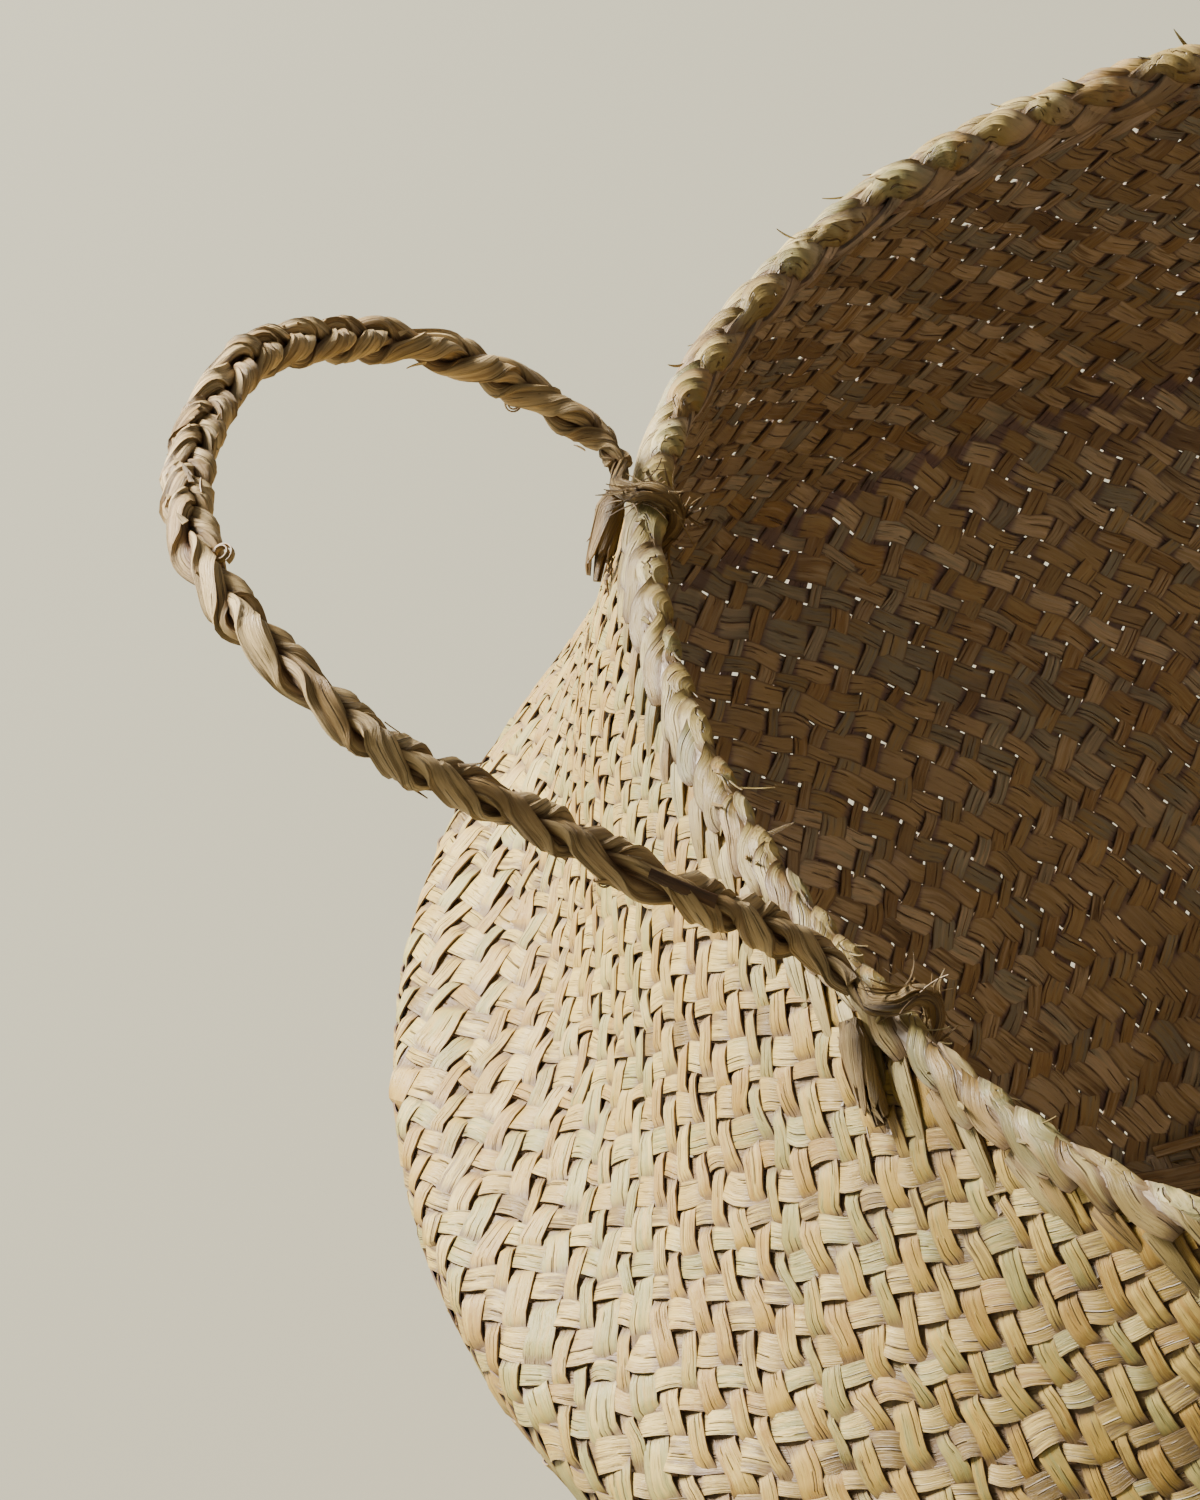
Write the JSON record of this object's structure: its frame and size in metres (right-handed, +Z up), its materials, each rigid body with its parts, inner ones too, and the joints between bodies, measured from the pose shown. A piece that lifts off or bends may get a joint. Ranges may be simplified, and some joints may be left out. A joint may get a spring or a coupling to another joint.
{
  "type": "belly basket",
  "caption": "Round open basket plaited from grass strips, wide in the middle, with a corded edge and rope loop handles that swing at the sides of the mouth.",
  "frame": {"origin": "the centre of the bottom, on the ground", "axes": "+Z up out of the mouth; the handles stand out along X, the one in the picture at -X; -Y is the side nearest the picture's camera"},
  "size_m": [0.4438, 0.4, 0.2958],
  "materials": {
    "outer_straw": "dry, faintly glossy",
    "inner_straw": "dry, matte",
    "edge_straw": "dry, faintly glossy",
    "rope_straw": "dry, faintly glossy"
  },
  "bodies": {
    "basket": {"base_mat": "inner_straw", "lower_wall": "outer_straw", "upper_wall": "outer_straw", "rim_cord": "edge_straw", "rim_band": "inner_straw", "left_back_wrap": "edge_straw", "left_back_tail": "rope_straw", "left_front_wrap": "edge_straw", "left_front_tail": "rope_straw", "right_back_wrap": "edge_straw", "right_back_tail": "rope_straw", "right_front_wrap": "edge_straw", "right_front_tail": "rope_straw"},
    "left_handle": {"left_handle_rope": "rope_straw"},
    "right_handle": {"right_handle_rope": "rope_straw"}
  },
  "joints": [
    {"name": "left_handle_swing", "type": "hinge", "parent": "basket", "child": "left_handle", "pos_m": [-0.13397, 0.00784, 0.2263], "axis": [-0.046, 0.9989, 0.012], "range_deg": [-84, 100]},
    {"name": "right_handle_swing", "type": "hinge", "parent": "basket", "child": "right_handle", "pos_m": [0.13397, 0.00784, 0.2263], "axis": [-0.046, -0.9989, -0.012], "range_deg": [-84, 100]}
  ]
}
